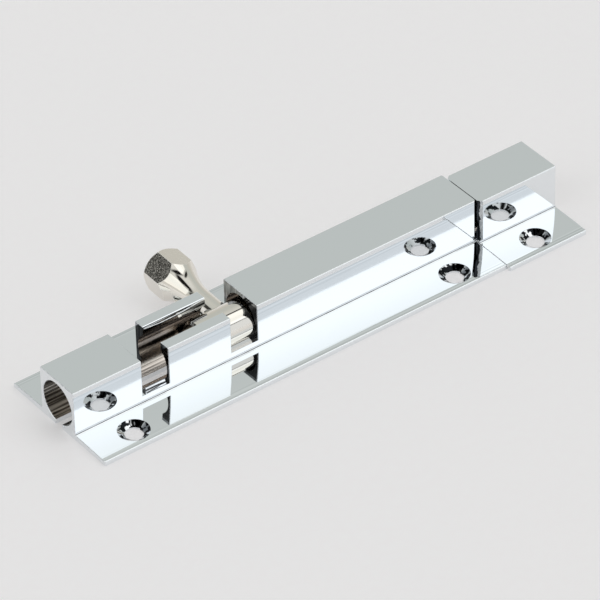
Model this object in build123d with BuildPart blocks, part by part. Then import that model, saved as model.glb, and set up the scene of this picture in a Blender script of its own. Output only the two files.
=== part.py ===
import os
from math import cos, radians, sin, sqrt

from build123d import *

# Sizes in millimetres. X runs along the bolt towards the keeper, Y to the back, Z up.
# The origin is the middle of the barrel's screw pattern, on the mounting face.

# extruded section, shared by the barrel and the keeper
base_width = 25.0
root_thickness = 1.05
edge_thickness = 0.85
tube_width = 9.0
top_wall = 0.75
tube_edge_radius = 0.2
foot_radius = 0.4
base_edge_radius = 0.25
slit_width = 1.7

# cut lengths
barrel_length = 80.0
keeper_length = 16.0
keeper_gap = 0.15
cut_edge_break = 0.1
barrel_corner_break = 0.3
keeper_corner_break = 0.7

# screw holes
hole_diameter = 3.1
sink_diameter = 5.4
sink_angle = 118.0
hole_end_inset = 8.0
hole_edge_inset = 3.4

# notches and slot that the knob's neck travels in
open_notch_from_end = 15.7
throw = 17.35
notch_width = 5.2
slot_width = 4.8
neck_clearance = 0.03

# rod, lying loose in both bores
rod_diameter = 6.7
rod_play = 1.1
lie_gap = 0.03
lie_angle = 55.0
rod_tail = 7.0
keeper_reach = 15.5
tail_chamfer = 0.4
nose_chamfer = 0.8

# knob, turned from hexagon bar and screwed into the rod
neck_diameter = 4.0
neck_length = 7.6
flare_end = 14.6
hex_width = 6.95
hex_turn = 43.0
head_end = 18.6
end_chamfer = 1.0
blank_margin = 0.3
knob_lift = 1.0
seat_depth = 0.8
seat_clearance = 0.05
stud_diameter = 3.0
stud_clearance = 0.05
stud_length = 4.2
stud_end_gap = 0.4

# derived places
flange_width = (base_width - tube_width) / 2
foot_top = root_thickness + foot_radius
barrel_corner_side = barrel_corner_break * sqrt(2)
keeper_corner_side = keeper_corner_break * sqrt(2)
bore_diameter = rod_diameter + rod_play
bore_z = bore_diameter / 2 + top_wall
tube_height = bore_diameter + 2 * top_wall
lie_offset = rod_play / 2 - lie_gap
rod_y = -lie_offset * sin(radians(lie_angle))
rod_z = bore_z - lie_offset * cos(radians(lie_angle))
keeper_shift = 2 * rod_y
barrel_start = -barrel_length / 2
barrel_end = barrel_length / 2
keeper_start = barrel_end + keeper_gap
keeper_middle = keeper_start + keeper_length / 2
open_notch_x = barrel_start + open_notch_from_end
shut_notch_x = open_notch_x + throw
notch_floor = rod_z - neck_diameter / 2 - neck_clearance
slot_reach = (slot_width + tube_width) / 4
hole_spacing_x = barrel_length - 2 * hole_end_inset
hole_spacing_y = base_width - 2 * hole_edge_inset
crown_share = (1 - hole_edge_inset / flange_width) ** 2
hole_face = root_thickness - (root_thickness - edge_thickness) * crown_share
rod_start = shut_notch_x - rod_tail
rod_length = keeper_start + keeper_reach - rod_start
seat_distance = rod_diameter / 2 - seat_depth
blank_radius = hex_width / (2 * cos(radians(30))) + blank_margin
lift = radians(knob_lift)

# planes of the knob: across its axis and along it, both through the rod's axis
knob_origin = (shut_notch_x, rod_y, rod_z)
knob_plane = Plane(knob_origin, x_dir=(1, 0, 0), z_dir=(0, cos(lift), sin(lift)))
knob_side = Plane(knob_origin, x_dir=(1, 0, 0), z_dir=(0, -sin(lift), cos(lift)))

os.makedirs("parts", exist_ok=True)

# section: crowned flanges filleted into a square tube, its round bore open below by a slit
foot = (tube_width / 2, root_thickness)
base_corner = (base_width / 2, edge_thickness)
tube_corner = (tube_width / 2, tube_height)
with BuildSketch() as section:
    with BuildLine():
        Polyline(base_corner, (base_width / 2, 0), (0, 0), (0, tube_height), tube_corner, foot)
        TangentArc(foot, base_corner, tangent=(1, 0))
    make_face()
    for corner, radius in (
        (foot, foot_radius),
        (base_corner, base_edge_radius),
        (tube_corner, tube_edge_radius),
    ):
        fillet(section.vertices().sort_by_distance(corner)[0], radius)
    mirror(about=Plane.YZ)
    with Locations((0, bore_z)):
        Circle(bore_diameter / 2, mode=Mode.SUBTRACT)
    with Locations((0, bore_z / 2)):
        Rectangle(slit_width, bore_z, mode=Mode.SUBTRACT)

# barrel: two notches right across the tube, joined by a slot along its top,
# and broken corners where it meets the keeper
with BuildPart() as barrel:
    with BuildSketch(Plane.YZ.offset(barrel_start)):
        add(section.sketch_local)
    extrude(amount=barrel_length)
    chamfer(barrel.faces().sort_by(Axis.X)[0].edges(), cut_edge_break)
    with Locations((barrel_end, -tube_width / 2, foot_top), (barrel_end, tube_width / 2, foot_top)):
        Box(
            barrel_corner_side,
            barrel_corner_side,
            tube_height,
            rotation=(0, 0, 45),
            align=(Align.CENTER, Align.CENTER, Align.MIN),
            mode=Mode.SUBTRACT,
        )
    with Locations((open_notch_x, 0, notch_floor), (shut_notch_x, 0, notch_floor)):
        Box(
            notch_width,
            base_width,
            tube_height,
            align=(Align.CENTER, Align.CENTER, Align.MIN),
            mode=Mode.SUBTRACT,
        )
    with Locations(((open_notch_x + shut_notch_x) / 2, 0, bore_z)):
        Box(
            throw,
            slot_width,
            tube_height,
            align=(Align.CENTER, Align.CENTER, Align.MIN),
            mode=Mode.SUBTRACT,
        )
    top_edges = barrel.edges().group_by(Axis.Z)[-1]
    notch_edges = top_edges.filter_by(Axis.Y).sort_by(Axis.X)[1:-1]
    slot_edges = top_edges.filter_by(Axis.X).filter_by_position(Axis.Y, -slot_reach, slot_reach)
    chamfer(notch_edges + slot_edges, cut_edge_break)
    with Locations(Plane.XY.offset(hole_face)):
        with GridLocations(hole_spacing_x, hole_spacing_y, 2, 2):
            CounterSinkHole(hole_diameter / 2, sink_diameter / 2, counter_sink_angle=sink_angle)
barrel.part.label = "barrel"
export_step(barrel.part, "parts/barrel.step")

# keeper: a short length of the same section with one screw hole in each flange
with BuildPart() as keeper:
    with BuildSketch(Plane.YZ.offset(keeper_start)):
        with Locations((keeper_shift, 0)):
            add(section.sketch_local)
    extrude(amount=keeper_length)
    chamfer(keeper.faces().sort_by(Axis.X)[-1].edges(), cut_edge_break)
    keeper_sides = (keeper_shift - tube_width / 2, keeper_shift + tube_width / 2)
    with Locations(*[(keeper_start, side, foot_top) for side in keeper_sides]):
        Box(
            keeper_corner_side,
            keeper_corner_side,
            tube_height,
            rotation=(0, 0, 45),
            align=(Align.CENTER, Align.CENTER, Align.MIN),
            mode=Mode.SUBTRACT,
        )
    with Locations(Plane((keeper_middle, keeper_shift, hole_face))):
        with GridLocations(1, hole_spacing_y, 1, 2):
            CounterSinkHole(hole_diameter / 2, sink_diameter / 2, counter_sink_angle=sink_angle)
keeper.part.label = "keeper"
export_step(keeper.part, "parts/keeper.step")

# rod: round bar with a spot-faced cross hole for the knob
with BuildPart() as rod:
    with BuildSketch(Plane.YZ.offset(rod_start)):
        with Locations((rod_y, rod_z)):
            Circle(rod_diameter / 2)
    extrude(amount=rod_length)
    chamfer(rod.faces().sort_by(Axis.X)[0].edges(), tail_chamfer)
    chamfer(rod.faces().sort_by(Axis.X)[-1].edges(), nose_chamfer)
    with Locations(knob_plane.offset(rod_diameter / 2)):
        CounterBoreHole(
            radius=stud_diameter / 2 + stud_clearance,
            counter_bore_radius=neck_diameter / 2 + seat_clearance,
            counter_bore_depth=seat_depth,
            depth=seat_depth + stud_length + stud_end_gap,
        )
rod.part.label = "rod"
export_step(rod.part, "parts/rod.step")

# knob: stud, neck, flare and head turned in one, the head keeping the bar's six flats
with BuildPart() as knob:
    with BuildSketch(knob_side):
        with BuildLine():
            Polyline(
                (neck_diameter / 2, neck_length),
                (neck_diameter / 2, seat_distance),
                (stud_diameter / 2, seat_distance),
                (stud_diameter / 2, seat_distance - stud_length),
                (0, seat_distance - stud_length),
                (0, head_end),
                (blank_radius - end_chamfer, head_end),
                (blank_radius, head_end - end_chamfer),
                (blank_radius, flare_end),
            )
            TangentArc((neck_diameter / 2, neck_length), (blank_radius, flare_end), tangent=(0, 1))
        make_face()
    revolve(axis=Axis(knob_plane.origin, knob_plane.z_dir))
    with BuildSketch(knob_plane):
        RegularPolygon(hex_width / 2, 6, major_radius=False, rotation=-hex_turn)
    extrude(amount=2 * head_end, both=True, mode=Mode.INTERSECT)
knob.part.label = "knob"
export_step(knob.part, "parts/knob.step")
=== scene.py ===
import math

import bpy
from mathutils import Matrix, Vector


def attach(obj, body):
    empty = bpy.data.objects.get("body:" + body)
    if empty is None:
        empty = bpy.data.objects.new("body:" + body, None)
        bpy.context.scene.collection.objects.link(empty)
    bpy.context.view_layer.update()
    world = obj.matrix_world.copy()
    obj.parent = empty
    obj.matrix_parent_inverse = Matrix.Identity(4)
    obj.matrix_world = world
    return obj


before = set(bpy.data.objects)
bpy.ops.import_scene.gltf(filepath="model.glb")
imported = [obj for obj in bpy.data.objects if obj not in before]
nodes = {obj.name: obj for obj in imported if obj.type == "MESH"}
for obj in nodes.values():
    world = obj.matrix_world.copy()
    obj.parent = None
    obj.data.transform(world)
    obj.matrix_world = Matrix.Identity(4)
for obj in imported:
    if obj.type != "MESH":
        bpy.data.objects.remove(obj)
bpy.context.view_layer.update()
mm = 0.001
print("frame loaded:", sorted(nodes))


def linearColour(hexText):
    channels = [int(hexText[i:i + 2], 16) / 255 for i in (1, 3, 5)]
    return [c / 12.92 if c <= 0.04045 else ((c + 0.055) / 1.055) ** 2.4 for c in channels] + [1.0]


# a Mix node is wired by place: 0 factor, 2 and 3 numbers, 6 and 7 colours; out 0 number, 2 colour
def addNode(tree, kind, settings=None, inputs=None, links=None):
    node = tree.nodes.new(kind)
    for name, value in (settings or {}).items():
        setattr(node, name, value)
    for name, value in (inputs or {}).items():
        node.inputs[name].default_value = value
    for name, source in (links or {}).items():
        tree.links.new(source, node.inputs[name])
    return node


def newMaterial(name):
    material = bpy.data.materials.new(name)
    material.use_nodes = True
    material.node_tree.nodes.clear()
    return material, material.node_tree


# polished chrome plate: near-mirror, cool white, a faint ripple and hair lines left by the buffing wheel
chromeLook = {
    "name": "polishedChromePlate",
    "colour": "#EDF0F2",
    "roughness": (0.015, 0.04),
    "ripple": {"sizeMm": (14.0, 5.0, 5.0), "heightMm": 0.0008},
    # real buffing lines are finer, and are drawn coarse enough to show
    "lines": {"sizeMm": (6.0, 0.12, 0.12), "heightMm": 0.00008},
    # in the drawn bore: painted shade, brown-grey satin, with painted reflection streaks lengthwise
    "boreShadeAndStreaks": {
        "sizeMm": (25.0, 0.8, 0.8), "blur": 0.1, "dark": "#403B37", "pale": "#FFF6EE",
        "roughness": 0.2,
    },
    # painted light at the bore's open mouth: brighter there, with painted reflection streaks
    "boreMouthLight": {
        "sizeMm": (20.0, 0.4, 0.4), "blur": 0.07, "dark": "#6A655E", "pale": "#FFFBF4",
        "roughness": 0.3,
    },
    # painted shade on the square faces of the milled notches: darker, with streaks like the cutter's marks
    "notchShade": {
        "sizeMm": (0.4, 0.4, 2.5), "blur": 0.12, "dark": "#75787C", "pale": "#B4B7BB",
        "roughness": 0.06,
    },
    # painted shade at the front of the notches' square faces: nearly black
    "notchFrontShade": {
        "sizeMm": (0.4, 0.4, 0.4), "blur": 0.1, "dark": "#050506", "pale": "#3A3C40",
        "roughness": 0.1,
    },
    # painted shade on the walls of the milled slot, nearly black, with torn bright lines drawn as painted
    # highlights
    "slotShadeAndStreaks": {
        "sizeMm": (7.0, 7.0, 0.3), "blur": 0.12, "dark": "#0C0D0F", "pale": "#F2F4F6",
        "roughness": 0.08,
    },
    # sawn edges, broken by tumbling: satin and pale
    "rim": {
        "sizeMm": (0.5, 0.5, 0.5), "blur": 0.12, "dark": "#DCE0E4", "pale": "#F6F8FA",
        "roughness": 0.45,
    },
    # painted shade, nearly black, on the broken corners where the barrel meets the keeper
    "seamShade": {
        "sizeMm": (0.3, 0.3, 4.0), "blur": 0.12, "dark": "#17181A", "pale": "#5A5E64",
        "roughness": 0.3,
    },
    # the sawn ends of the flanges, where they meet: pale and matt
    "joint": {
        "sizeMm": (1.0, 1.0, 1.0), "blur": 0.12, "dark": "#FAFCFE", "pale": "#FFFFFF",
        "roughness": 0.9,
    },
    # painted dark and bright reflection patches in the countersinks, over the drill's ragged chatter as
    # bump
    "sinkReflections": {
        "sizeMm": (1.1, 1.1, 1.1), "blur": 0.02, "dark": "#1C1E21", "pale": "#E9ECEF",
        "roughness": 0.03, "chatterMm": 0.016,
    },
    # the extruding die left fine lines along the flanges' outer edges
    "die": {
        "sizeMm": (70.0, 0.35, 0.35), "blur": 0.12, "dark": "#DDE1E3", "pale": "#F4F7F9",
        "roughness": 0.03, "chatterMm": 0.0025,
    },
    # painted shade in the corner between wall and flange: a thin grey line
    "cornerShade": {
        "sizeMm": (2.0, 0.5, 0.5), "blur": 0.12, "dark": "#3A4048", "pale": "#848A94",
        "roughness": 0.3,
    },
}

# bright nickel plate on drawn bar: warmer than chrome, with lengthwise drawing lines, drawn coarse to show
rodLook = {
    "name": "brightNickelPlateOnRod",
    "colour": "#EBE7DF",
    "roughness": (0.04, 0.1),
    "ripple": {"sizeMm": (12.0, 3.0, 3.0), "heightMm": 0.002},
    "lines": {"sizeMm": (9.0, 0.15, 0.15), "heightMm": 0.0003},
}

# bright nickel plate on turned bar: rings round the flare, grain on the six unturned flats
knobLook = {
    "name": "brightNickelPlateOnKnob",
    "colour": "#EBE7DF",
    "roughness": (0.04, 0.11),
    "ripple": {"sizeMm": (3.0, 4.0, 3.0), "heightMm": 0.002},
    "lines": {"sizeMm": (3.0, 0.12, 3.0), "heightMm": 0.0003},
    # a flat's normal leans along the knob by less than flatLean
    "grain": {"sizeMm": (0.22, 0.22, 0.22), "heightMm": 0.035, "fromYMm": 12.0, "flatLean": 0.06},
    # painted highlight on the edges: thin pale satin lines, from where the bevelled normal starts to leave
    # the face's own
    "edgeHighlight": {"sizeMm": 0.16, "samples": 8, "match": (0.995, 0.96), "colour": "#FFFDF8", "roughness": 0.5},
}

# where the finishes lie on the barrel, in millimetres from the middle of its section
barrelPlan = {
    "middleY": 0.0,
    "boreZ": 4.65,
    "boreReach": 3.91,  # a hair more than the bore's radius
    "mouthEnd": -33.0,
    "notchReach": 39.0,
    "notchFrontShadeBack": -1.0,
    "notchFrontShadeTop": 8.6,
    "slotReach": 2.6,
    "slotFloor": 6.0,
    "meetingStart": 39.0,
    "seamShadeEnd": 40.5,
    "jointEnd": 41.5,
    "flangeTop": 1.2,
    "sinkInner": 6.2,
    "sinkOuter": 12.0,
    "dieInner": 11.2,
    "cornerY": 4.62,
    "cornerZ": 1.17,
    "cornerReach": 0.06,
    "wobble": 0.4,
    "wobbleLength": 1.2,
}
keeperPlan = {**barrelPlan, "middleY": -0.852, "notchReach": 0.0}

# size of a face's normal along an axis, which tells square faces from chamfers, broken corners and sinks
facingLimits = {
    "square": 0.95,
    "chamferLow": 0.6,
    "chamferHigh": 0.9,
    "brokenCorner": 0.5,
    "sinkLow": 0.8,
    "sinkHigh": 0.92,
}
noiseMiddle = 0.5
noiseSpread = 0.15  # most of a noise lies this near its middle


def noiseOver(tree, place, sizeMm, detail):
    stretch = addNode(
        tree, "ShaderNodeVectorMath", {"operation": "MULTIPLY"},
        inputs={1: [1 / (length * mm) for length in sizeMm]},
        links={0: place},
    )
    noise = addNode(
        tree, "ShaderNodeTexNoise",
        inputs={"Scale": 1.0, "Detail": detail, "Roughness": 0.5},
        links={"Vector": stretch.outputs["Vector"]},
    )
    return noise.outputs["Fac"]


def makePlate(look, plan=None):
    material, tree = newMaterial(look["name"])
    coords = addNode(tree, "ShaderNodeTexCoord")
    place = coords.outputs["Object"]
    lines = noiseOver(tree, place, look["lines"]["sizeMm"], detail=2.0)
    relief = addNode(
        tree, "ShaderNodeBump",
        inputs={"Strength": 1.0, "Distance": look["ripple"]["heightMm"] * mm},
        links={"Height": noiseOver(tree, place, look["ripple"]["sizeMm"], detail=1.0)},
    )
    relief = addNode(
        tree, "ShaderNodeBump",
        inputs={"Strength": 1.0, "Distance": look["lines"]["heightMm"] * mm},
        links={"Height": lines, "Normal": relief.outputs["Normal"]},
    )
    if "grain" in look:
        relief = addGrain(tree, look["grain"], coords, relief)
    low, high = look["roughness"]
    polish = addNode(
        tree, "ShaderNodeMapRange",
        inputs={
            "From Min": noiseMiddle - noiseSpread, "From Max": noiseMiddle + noiseSpread,
            "To Min": low, "To Max": high,
        },
        links={"Value": lines},
    ).outputs["Result"]
    shader = addNode(
        tree, "ShaderNodeBsdfPrincipled",
        inputs={"Base Color": linearColour(look["colour"]), "Metallic": 1.0},
        links={"Normal": relief.outputs["Normal"], "Roughness": polish},
    )
    if plan:
        addCutFinishes(tree, look, plan, coords, shader, polish)
    # painted edge highlight
    if "edgeHighlight" in look:
        addEdgeHighlight(tree, look, shader, polish)
    addNode(tree, "ShaderNodeOutputMaterial", links={"Surface": shader.outputs["BSDF"]})
    return material


def addGrain(tree, grain, coords, relief):
    split = addNode(tree, "ShaderNodeSeparateXYZ", links={"Vector": coords.outputs["Object"]})
    normal = addNode(tree, "ShaderNodeSeparateXYZ", links={"Vector": coords.outputs["Normal"]})
    lean = addNode(tree, "ShaderNodeMath", {"operation": "ABSOLUTE"}, links={0: normal.outputs["Y"]})
    onFlat = addNode(
        tree, "ShaderNodeMath", {"operation": "LESS_THAN"},
        {1: grain["flatLean"]}, {0: lean.outputs["Value"]},
    )
    onHead = addNode(
        tree, "ShaderNodeMath", {"operation": "GREATER_THAN"},
        {1: grain["fromYMm"] * mm}, {0: split.outputs["Y"]},
    )
    mask = addNode(
        tree, "ShaderNodeMath", {"operation": "MULTIPLY"},
        links={0: onFlat.outputs["Value"], 1: onHead.outputs["Value"]},
    )
    return addNode(
        tree, "ShaderNodeBump",
        inputs={"Distance": grain["heightMm"] * mm},
        links={
            "Strength": mask.outputs["Value"],
            "Height": noiseOver(tree, coords.outputs["Object"], grain["sizeMm"], detail=2.0),
            "Normal": relief.outputs["Normal"],
        },
    )


# paints a highlight along edges: paler and satin where the bevelled normal leaves the face's own
def addEdgeHighlight(tree, look, shader, polish):
    edgeHighlight = look["edgeHighlight"]
    start, full = edgeHighlight["match"]
    rounded = addNode(
        tree, "ShaderNodeBevel", {"samples": edgeHighlight["samples"]},
        inputs={"Radius": edgeHighlight["sizeMm"] * mm},
    )
    face = addNode(tree, "ShaderNodeNewGeometry")
    match = addNode(
        tree, "ShaderNodeVectorMath", {"operation": "DOT_PRODUCT"},
        links={0: rounded.outputs["Normal"], 1: face.outputs["Normal"]},
    )
    mask = addNode(
        tree, "ShaderNodeMapRange",
        inputs={"From Min": start, "From Max": full},
        links={"Value": match.outputs["Value"]},
    ).outputs["Result"]
    colour = addNode(
        tree, "ShaderNodeMix", {"data_type": "RGBA"},
        inputs={6: linearColour(look["colour"]), 7: linearColour(edgeHighlight["colour"])},
        links={0: mask},
    )
    gloss = addNode(tree, "ShaderNodeMix", inputs={3: edgeHighlight["roughness"]}, links={0: mask, 2: polish})
    tree.links.new(colour.outputs[2], shader.inputs["Base Color"])
    tree.links.new(gloss.outputs[0], shader.inputs["Roughness"])


def addCutFinishes(tree, look, planMm, coords, shader, polish):
    plan = {name: length * mm for name, length in planMm.items()}
    limits = facingLimits
    place = addNode(
        tree, "ShaderNodeVectorMath", {"operation": "SUBTRACT"},
        inputs={1: (0, plan["middleY"], 0)},
        links={0: coords.outputs["Object"]},
    ).outputs["Vector"]
    spot = addNode(tree, "ShaderNodeSeparateXYZ", links={"Vector": place}).outputs
    away = addNode(tree, "ShaderNodeVectorMath", {"operation": "ABSOLUTE"}, links={0: place})
    away = addNode(tree, "ShaderNodeSeparateXYZ", links={"Vector": away.outputs["Vector"]}).outputs
    facing = addNode(
        tree, "ShaderNodeVectorMath", {"operation": "ABSOLUTE"},
        links={0: coords.outputs["Normal"]},
    )
    facing = addNode(tree, "ShaderNodeSeparateXYZ", links={"Vector": facing.outputs["Vector"]}).outputs
    section = addNode(tree, "ShaderNodeCombineXYZ", links={"Y": away["Y"], "Z": away["Z"]})
    fromBore = addNode(
        tree, "ShaderNodeVectorMath", {"operation": "DISTANCE"},
        inputs={1: (0, 0, plan["boreZ"])},
        links={0: section.outputs["Vector"]},
    ).outputs["Value"]
    fromCorner = addNode(
        tree, "ShaderNodeVectorMath", {"operation": "DISTANCE"},
        inputs={1: (0, plan["cornerY"], plan["cornerZ"])},
        links={0: section.outputs["Vector"]},
    ).outputs["Value"]
    # the painted seam shade ends raggedly
    wobble = addNode(
        tree, "ShaderNodeMapRange",
        inputs={"To Min": -plan["wobble"], "To Max": plan["wobble"]},
        links={"Value": noiseOver(tree, place, [planMm["wobbleLength"]] * 3, detail=2.0)},
    )
    ragged = addNode(
        tree, "ShaderNodeMath", {"operation": "ADD"},
        links={0: spot["X"], 1: wobble.outputs["Result"]},
    ).outputs["Value"]
    # each finish covers the places where all its tests hold, and lies over those before it
    above = "GREATER_THAN"
    below = "LESS_THAN"
    tests = {
        # painted shade with painted reflection streaks, inside the bore
        "boreShadeAndStreaks": [(below, fromBore, plan["boreReach"])],
        # painted light at the bore's open mouth
        "boreMouthLight": [(below, fromBore, plan["boreReach"]), (below, spot["X"], plan["mouthEnd"])],
        # painted shade on the notches' square faces
        "notchShade": [(above, facing["X"], limits["square"]), (below, away["X"], plan["notchReach"])],
        # near-black painted shade at the front of the notches
        "notchFrontShade": [
            (above, facing["X"], limits["square"]),
            (below, away["X"], plan["notchReach"]),
            (below, spot["Y"], plan["notchFrontShadeBack"]),
            (below, spot["Z"], plan["notchFrontShadeTop"]),
        ],
        # painted shade with painted highlight lines, on the slot's walls
        "slotShadeAndStreaks": [
            (above, facing["Y"], limits["square"]),
            (below, away["Y"], plan["slotReach"]),
            (above, away["Z"], plan["slotFloor"]),
        ],
        "rim": [(above, facing["X"], limits["chamferLow"]), (below, facing["X"], limits["chamferHigh"])],
        # near-black painted shade on the corners where barrel and keeper meet
        "seamShade": [
            (above, facing["X"], limits["brokenCorner"]),
            (above, facing["Y"], limits["brokenCorner"]),
            (above, spot["X"], plan["meetingStart"]),
            (below, ragged, plan["seamShadeEnd"]),
        ],
        "joint": [
            (above, facing["X"], limits["square"]),
            (above, spot["X"], plan["meetingStart"]),
            (below, spot["X"], plan["jointEnd"]),
            (below, spot["Z"], plan["flangeTop"]),
        ],
        # painted reflections in the countersinks
        "sinkReflections": [
            (above, facing["Z"], limits["sinkLow"]),
            (below, facing["Z"], limits["sinkHigh"]),
            (above, away["Y"], plan["sinkInner"]),
            (below, away["Y"], plan["sinkOuter"]),
        ],
        "die": [(above, facing["Z"], limits["square"]), (above, away["Y"], plan["dieInner"])],
        # painted shade in the corner between wall and flange
        "cornerShade": [(below, fromCorner, plan["cornerReach"])],
    }
    colour = None
    roughness = polish
    for name, conditions in tests.items():
        finish = look[name]
        mask = None
        for operation, value, limit in conditions:
            test = addNode(tree, "ShaderNodeMath", {"operation": operation}, {1: limit}, {0: value})
            if mask:
                test = addNode(
                    tree, "ShaderNodeMath", {"operation": "MULTIPLY"},
                    links={0: mask, 1: test.outputs["Value"]},
                )
            mask = test.outputs["Value"]
        streak = addNode(
            tree, "ShaderNodeMapRange",
            inputs={"From Min": noiseMiddle - finish["blur"], "From Max": noiseMiddle + finish["blur"]},
            links={"Value": noiseOver(tree, place, finish["sizeMm"], detail=3.0)},
        )
        tone = addNode(
            tree, "ShaderNodeMix", {"data_type": "RGBA"},
            inputs={6: linearColour(finish["dark"]), 7: linearColour(finish["pale"])},
            links={0: streak.outputs["Result"]},
        )
        layer = addNode(
            tree, "ShaderNodeMix", {"data_type": "RGBA"},
            inputs={6: linearColour(look["colour"])},
            links={0: mask, 7: tone.outputs[2]},
        )
        if colour:
            tree.links.new(colour, layer.inputs[6])
        colour = layer.outputs[2]
        gloss = addNode(
            tree, "ShaderNodeMix",
            inputs={3: finish["roughness"]},
            links={0: mask, 2: roughness},
        )
        roughness = gloss.outputs[0]
        if "chatterMm" in finish:
            chatter = addNode(
                tree, "ShaderNodeBump",
                inputs={"Distance": finish["chatterMm"] * mm},
                links={
                    "Strength": mask,
                    "Height": noiseOver(tree, place, finish["sizeMm"], detail=1.0),
                    "Normal": shader.inputs["Normal"].links[0].from_socket,
                },
            )
            tree.links.new(chatter.outputs["Normal"], shader.inputs["Normal"])
    tree.links.new(colour, shader.inputs["Base Color"])
    tree.links.new(roughness, shader.inputs["Roughness"])


finishes = {
    "barrel": makePlate(chromeLook, barrelPlan),
    "keeper": makePlate(chromeLook, keeperPlan),
    "rod": makePlate(rodLook),
    "knob": makePlate(knobLook),
}
for name, finish in finishes.items():
    nodes[name].material_slots[0].material = finish
print("finishes on:", sorted(finishes))

# torn edge at the back of the slot: fine slivers that the cutter lifted, in millimetres
burrLook = {
    "start": (-21.5, 2.34, 8.85),
    "end": (-9.8, 2.34, 9.2),
    "strands": 3,
    "points": 60,
    "sides": 6,
    "spread": 0.9,
    "pull": (0, -1.6, -2.2),  # into the slot and down, for each unit of spread
    "thickness": 0.07,
    "waveLength": 3.0,
    "waveDetail": 3.0,
    "seed": 7.0,
    "seedStep": 3.7,
}
# chrome torn by the cutter: as pale as the plate, but satin, so that the slivers catch light from all round
tornLook = {**rodLook, "name": "tornChromeEdge", "colour": "#EDF0F2", "roughness": (0.2, 0.4)}


def makeBurr(look, material):
    tree = bpy.data.node_groups.new("burr", "GeometryNodeTree")
    values = {
        "start": ("NodeSocketVector", [length * mm for length in look["start"]]),
        "end": ("NodeSocketVector", [length * mm for length in look["end"]]),
        "strands": ("NodeSocketInt", look["strands"]),
        "points": ("NodeSocketInt", look["points"]),
        "spread": ("NodeSocketFloat", look["spread"] * mm),
        "thickness": ("NodeSocketFloat", look["thickness"] * mm),
        "seed": ("NodeSocketFloat", look["seed"]),
        "material": ("NodeSocketMaterial", material),
    }
    burr = bpy.data.objects.new("slotBurr", bpy.data.meshes.new("slotBurr"))
    bpy.context.scene.collection.objects.link(burr)
    sockets = {
        name: tree.interface.new_socket(name, in_out="INPUT", socket_type=kind)
        for name, (kind, value) in values.items()
    }
    tree.interface.new_socket("mesh", in_out="OUTPUT", socket_type="NodeSocketGeometry")
    given = addNode(tree, "NodeGroupInput").outputs
    line = addNode(
        tree, "GeometryNodeCurvePrimitiveLine",
        links={"Start": given["start"], "End": given["end"]},
    )
    copies = addNode(
        tree, "GeometryNodeDuplicateElements", {"domain": "SPLINE"},
        links={"Geometry": line.outputs["Curve"], "Amount": given["strands"]},
    )
    path = addNode(
        tree, "GeometryNodeResampleCurve",
        links={"Curve": copies.outputs["Geometry"], "Count": given["points"]},
    )
    # each sliver hangs by its own noise and joins the edge again at both ends
    strandSeed = addNode(
        tree, "ShaderNodeMath", {"operation": "MULTIPLY_ADD"},
        inputs={1: look["seedStep"]},
        links={0: copies.outputs["Duplicate Index"], 2: given["seed"]},
    )
    spot = addNode(tree, "GeometryNodeInputPosition")
    noise = addNode(
        tree, "ShaderNodeTexNoise", {"noise_dimensions": "4D"},
        inputs={"Scale": 1 / (look["waveLength"] * mm), "Detail": look["waveDetail"]},
        links={"Vector": spot.outputs["Position"], "W": strandSeed.outputs["Value"]},
    )
    along = addNode(tree, "GeometryNodeSplineParameter").outputs["Factor"]
    left = addNode(tree, "ShaderNodeMath", {"operation": "SUBTRACT"}, {0: 1.0}, {1: along})
    arch = addNode(
        tree, "ShaderNodeMath", {"operation": "MULTIPLY"},
        links={0: along, 1: left.outputs["Value"]},
    )
    hang = addNode(
        tree, "ShaderNodeMath", {"operation": "MULTIPLY"},
        links={0: arch.outputs["Value"], 1: noise.outputs["Fac"]},
    )
    drop = addNode(
        tree, "ShaderNodeMath", {"operation": "MULTIPLY"},
        links={0: hang.outputs["Value"], 1: given["spread"]},
    )
    pull = addNode(
        tree, "ShaderNodeVectorMath", {"operation": "SCALE"},
        inputs={0: look["pull"]},
        links={"Scale": drop.outputs["Value"]},
    )
    torn = addNode(
        tree, "GeometryNodeSetPosition",
        links={"Geometry": path.outputs["Curve"], "Offset": pull.outputs["Vector"]},
    )
    ring = addNode(
        tree, "GeometryNodeCurvePrimitiveCircle",
        inputs={"Resolution": look["sides"]},
        links={"Radius": given["thickness"]},
    )
    sliver = addNode(
        tree, "GeometryNodeCurveToMesh",
        inputs={"Fill Caps": True},
        links={"Curve": torn.outputs["Geometry"], "Profile Curve": ring.outputs["Curve"]},
    )
    real = addNode(tree, "GeometryNodeRealizeInstances", links={"Geometry": sliver.outputs["Mesh"]})
    plated = addNode(
        tree, "GeometryNodeSetMaterial",
        links={"Geometry": real.outputs["Geometry"], "Material": given["material"]},
    )
    addNode(tree, "NodeGroupOutput", links={"mesh": plated.outputs["Geometry"]})
    modifier = burr.modifiers.new("burr", "NODES")
    modifier.node_group = tree
    for name, (kind, value) in values.items():
        modifier[sockets[name].identifier] = value
    shaped = burr.evaluated_get(bpy.context.evaluated_depsgraph_get())
    mesh = bpy.data.meshes.new_from_object(shaped)
    burr.modifiers.clear()
    burr.data = mesh
    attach(burr, "housing")
    print("burr faces:", len(mesh.polygons))


makeBurr(burrLook, makePlate(tornLook))

# coated card that the bolt lies on: pale and matt, a little paler to the eye than it is lit;
# its fibres are finer in reality, and are drawn coarse enough to show
floorLook = {
    "halfWidth": 3.0,  # metres
    "dark": "#D0CDCF",
    "pale": "#D4D1D3",
    "fibreMm": (1.6, 1.6, 1.6),
    "fibreHeightMm": 0.004,
    "glow": 0.34,
    "roughness": 0.42,
}


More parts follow.
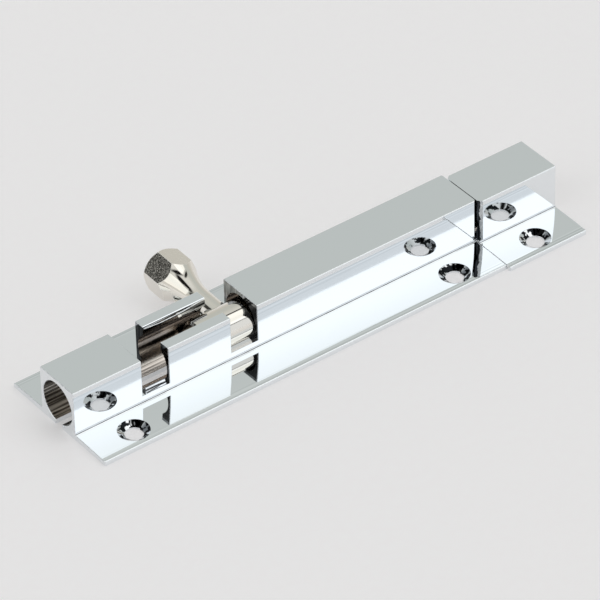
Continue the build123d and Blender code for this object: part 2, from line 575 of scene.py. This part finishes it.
def makeFloor(look):
    half = look["halfWidth"]
    mesh = bpy.data.meshes.new("floor")
    corners = [(-half, -half, 0), (half, -half, 0), (half, half, 0), (-half, half, 0)]
    mesh.from_pydata(corners, [], [(0, 1, 2, 3)])
    floor = bpy.data.objects.new("floor", mesh)
    bpy.context.scene.collection.objects.link(floor)
    material, tree = newMaterial("paleCard")
    place = addNode(tree, "ShaderNodeTexCoord").outputs["Object"]
    fibre = noiseOver(tree, place, look["fibreMm"], detail=2.0)
    tone = addNode(
        tree, "ShaderNodeMix", {"data_type": "RGBA"},
        inputs={6: linearColour(look["dark"]), 7: linearColour(look["pale"])},
        links={0: fibre},
    )
    relief = addNode(
        tree, "ShaderNodeBump",
        inputs={"Strength": 1.0, "Distance": look["fibreHeightMm"] * mm},
        links={"Height": fibre},
    )
    card = addNode(
        tree, "ShaderNodeBsdfPrincipled",
        inputs={"Roughness": look["roughness"]},
        links={"Base Color": tone.outputs[2], "Normal": relief.outputs["Normal"]},
    )
    # the eye and the metal both see the paler card
    ray = addNode(tree, "ShaderNodeLightPath")
    seen = addNode(
        tree, "ShaderNodeMath", {"operation": "MAXIMUM"},
        links={0: ray.outputs["Is Camera Ray"], 1: ray.outputs["Is Glossy Ray"]},
    )
    level = addNode(
        tree, "ShaderNodeMath", {"operation": "MULTIPLY"},
        inputs={1: look["glow"]},
        links={0: seen.outputs["Value"]},
    )
    glow = addNode(tree, "ShaderNodeEmission", links={"Strength": level.outputs["Value"]})
    shader = addNode(
        tree, "ShaderNodeAddShader",
        links={0: card.outputs["BSDF"], 1: glow.outputs["Emission"]},
    )
    addNode(tree, "ShaderNodeOutputMaterial", links={"Surface": shader.outputs["Shader"]})
    mesh.materials.append(material)
    print("floor laid")


makeFloor(floorLook)

# the room that the metal mirrors: pale walls with a grey belt, by the height of the direction,
# then the dark and bright things in it, each an oval round its direction,
# with its half sizes and the share of them where its edge starts to fade
roomLook = {
    "heights": (
        (0.0, "#E6E5E2"),
        (0.28, "#CDCCC6"),
        (0.57, "#C7CBC8"),
        (0.66, "#C7CBC8"),
        (0.8, "#D2D4D0"),
        (0.92, "#E6E7E5"),
    ),
    "patches": {
        "cameraSide": {
            "direction": (-0.46, -0.74, 0.49), "along": (0, 0, 1), "size": (0.62, 0.62),
            "fade": 0.4, "colour": "#7A7C7E",
        },
        "frontWall": {
            "direction": (0.55, -0.82, 0.2), "along": (0, 0, 1), "size": (0.6, 0.6),
            "fade": 0.72, "colour": "#EDF0F3",
        },
        # dark ceiling between the two softboxes
        "ceilingGap": {
            "direction": (-0.352, 0.187, 0.917), "along": (-0.356, 0.878, -0.316), "size": (0.5, 0.26),
            "fade": 0.6, "colour": "#161616",
        },
        "ceilingBridge": {
            "direction": (-0.04, -0.18, 0.983), "along": (0.85, 0.53, 0), "size": (0.42, 0.11),
            "fade": 0.5, "colour": "#161616",
        },
        # the key softbox's dark rim, above it and below it
        "keyTopEdge": {
            "direction": (0.4655, 0.077, 0.882), "along": (1, 0, 0), "size": (0.4, 0.07),
            "fade": 0.4, "colour": "#1E1E1E",
        },
        "keyFoot": {
            "direction": (0.4655, -0.721, 0.513), "along": (1, 0, 0), "size": (0.25, 0.022),
            "fade": 0.4, "colour": "#1E1E1E",
        },
        "backCorner": {
            "direction": (-0.58, 0.62, 0.53), "along": (0, 0, 1), "size": (0.24, 0.24),
            "fade": 0.65, "colour": "#3A3A39",
        },
    },
}


def makeRoom(look):
    world = bpy.data.worlds.new("room")
    bpy.context.scene.world = world
    world.use_nodes = True
    tree = world.node_tree
    tree.nodes.clear()
    coords = addNode(tree, "ShaderNodeTexCoord")
    split = addNode(tree, "ShaderNodeSeparateXYZ", links={"Vector": coords.outputs["Generated"]})
    ramp = addNode(tree, "ShaderNodeValToRGB", links={"Fac": split.outputs["Z"]})
    stops = ramp.color_ramp.elements
    while len(stops) < len(look["heights"]):
        stops.new(1.0)
    for stop, (position, colour) in zip(stops, look["heights"]):
        stop.position = position
        stop.color = linearColour(colour)
    shade = ramp.outputs["Color"]
    for patch in look["patches"].values():
        middle = Vector(patch["direction"]).normalized()
        across = middle.cross(Vector(patch["along"])).normalized()
        axes = (across.cross(middle), across)
        offsets = [
            addNode(
                tree, "ShaderNodeVectorMath", {"operation": "DOT_PRODUCT"},
                inputs={1: axis / size}, links={0: coords.outputs["Generated"]},
            ).outputs["Value"]
            for axis, size in zip(axes, patch["size"])
        ]
        offset = addNode(tree, "ShaderNodeCombineXYZ", links={"X": offsets[0], "Y": offsets[1]})
        reach = addNode(
            tree, "ShaderNodeVectorMath", {"operation": "LENGTH"},
            links={0: offset.outputs["Vector"]},
        )
        mask = addNode(
            tree, "ShaderNodeMapRange", {"interpolation_type": "SMOOTHSTEP"},
            inputs={"From Min": 1.0, "From Max": patch["fade"]},
            links={"Value": reach.outputs["Value"]},
        )
        mix = addNode(
            tree, "ShaderNodeMix", {"data_type": "RGBA"},
            inputs={7: linearColour(patch["colour"])},
            links={0: mask.outputs["Result"], 6: shade},
        )
        shade = mix.outputs[2]
    background = addNode(tree, "ShaderNodeBackground", links={"Color": shade})
    addNode(tree, "ShaderNodeOutputWorld", links={"Surface": background.outputs["Background"]})
    print("room has:", sorted(look["patches"]))


makeRoom(roomLook)

# softboxes, in metres: the key's long edges run along the bolt
softboxes = {
    "key": {
        "place": (1.2, -0.853, 1.809), "aim": (1.2, 0.0, 0.0),
        "width": 1.8, "height": 1.818, "radiance": 0.5,
    },
    "side": {
        "place": (-1.614, 0.114, 1.176), "aim": (0.0, 0.0, 0.0),
        "width": 1.6, "height": 1.82, "radiance": 0.52,
    },
}


def addSoftbox(name, box):
    lamp = bpy.data.lights.new(name, "AREA")
    lamp.shape = "RECTANGLE"
    lamp.size = box["width"]
    lamp.size_y = box["height"]
    lamp.energy = box["radiance"] * math.pi * box["width"] * box["height"]
    stand = bpy.data.objects.new(name, lamp)
    back = Vector(box["place"]) - Vector(box["aim"])
    turn = back.to_track_quat("Z", "Y").to_matrix().to_4x4()
    stand.matrix_world = Matrix.Translation(Vector(box["place"])) @ turn
    stand.visible_camera = False
    bpy.context.scene.collection.objects.link(stand)


for name, box in softboxes.items():
    addSoftbox(name, box)
print("lit by:", sorted(softboxes))

# long lens, looking down on the bolt from its front left, in millimetres and degrees
cameraView = {
    "target": (8.91, 2.019, 0.0),
    "distance": 807.18,
    "heading": 36.237,
    "tilt": 38.051,
    "roll": 1.462,
    "lens": 300.0,
    "sensor": 36.0,
    "clipStart": 10.0,
}


def addCamera(view):
    heading = math.radians(view["heading"])
    tilt = math.radians(view["tilt"])
    level = Vector((math.sin(heading), math.cos(heading), 0)) * math.cos(tilt)
    forward = level - Vector((0, 0, math.sin(tilt)))
    right = forward.cross(Vector((0, 0, 1))).normalized()
    up = right.cross(forward)
    lean = Matrix.Rotation(math.radians(view["roll"]), 3, forward)
    right = lean @ right
    up = lean @ up
    place = (Vector(view["target"]) - forward * view["distance"]) * mm
    data = bpy.data.cameras.new("camera")
    data.lens = view["lens"]
    data.sensor_width = view["sensor"]
    data.clip_start = view["clipStart"] * mm
    camera = bpy.data.objects.new("camera", data)
    turn = Matrix((right, up, -forward)).transposed().to_4x4()
    camera.matrix_world = Matrix.Translation(place) @ turn
    bpy.context.scene.collection.objects.link(camera)
    bpy.context.scene.camera = camera
    print("camera set")


addCamera(cameraView)
bpy.context.scene.view_settings.view_transform = "Standard"
